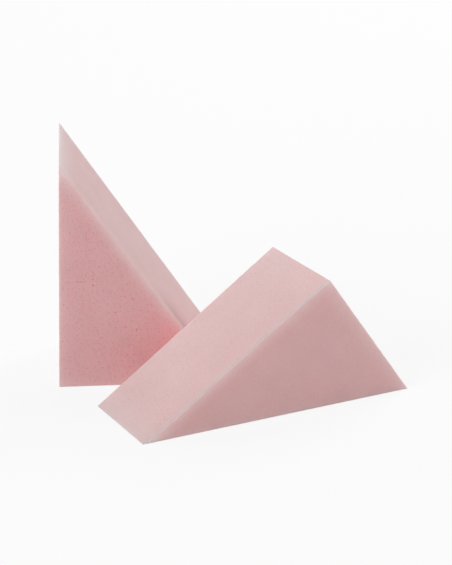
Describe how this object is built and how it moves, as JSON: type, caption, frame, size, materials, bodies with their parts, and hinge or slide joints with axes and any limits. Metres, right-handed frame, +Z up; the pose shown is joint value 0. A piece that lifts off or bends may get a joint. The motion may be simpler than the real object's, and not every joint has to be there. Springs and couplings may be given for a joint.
{
  "type": "cosmetic foam wedge set",
  "caption": "Make-up wedges of soft pink open-cell foam: right-angled triangular blocks with flat faces for spreading make-up and a thin edge for corners.",
  "frame": {"origin": "on the floor, under the middle of the box that holds the two wedges as they are set out", "axes": "+X along the short side of the standing wedge, away from its upright side; +Y from the viewer to the back; +Z up"},
  "size_m": [0.0804, 0.0618, 0.0555],
  "materials": {
    "pink_foam": "matte"
  },
  "bodies": {
    "root": {"standing_wedge": "pink_foam", "lying_wedge": "pink_foam"}
  },
  "joints": []
}
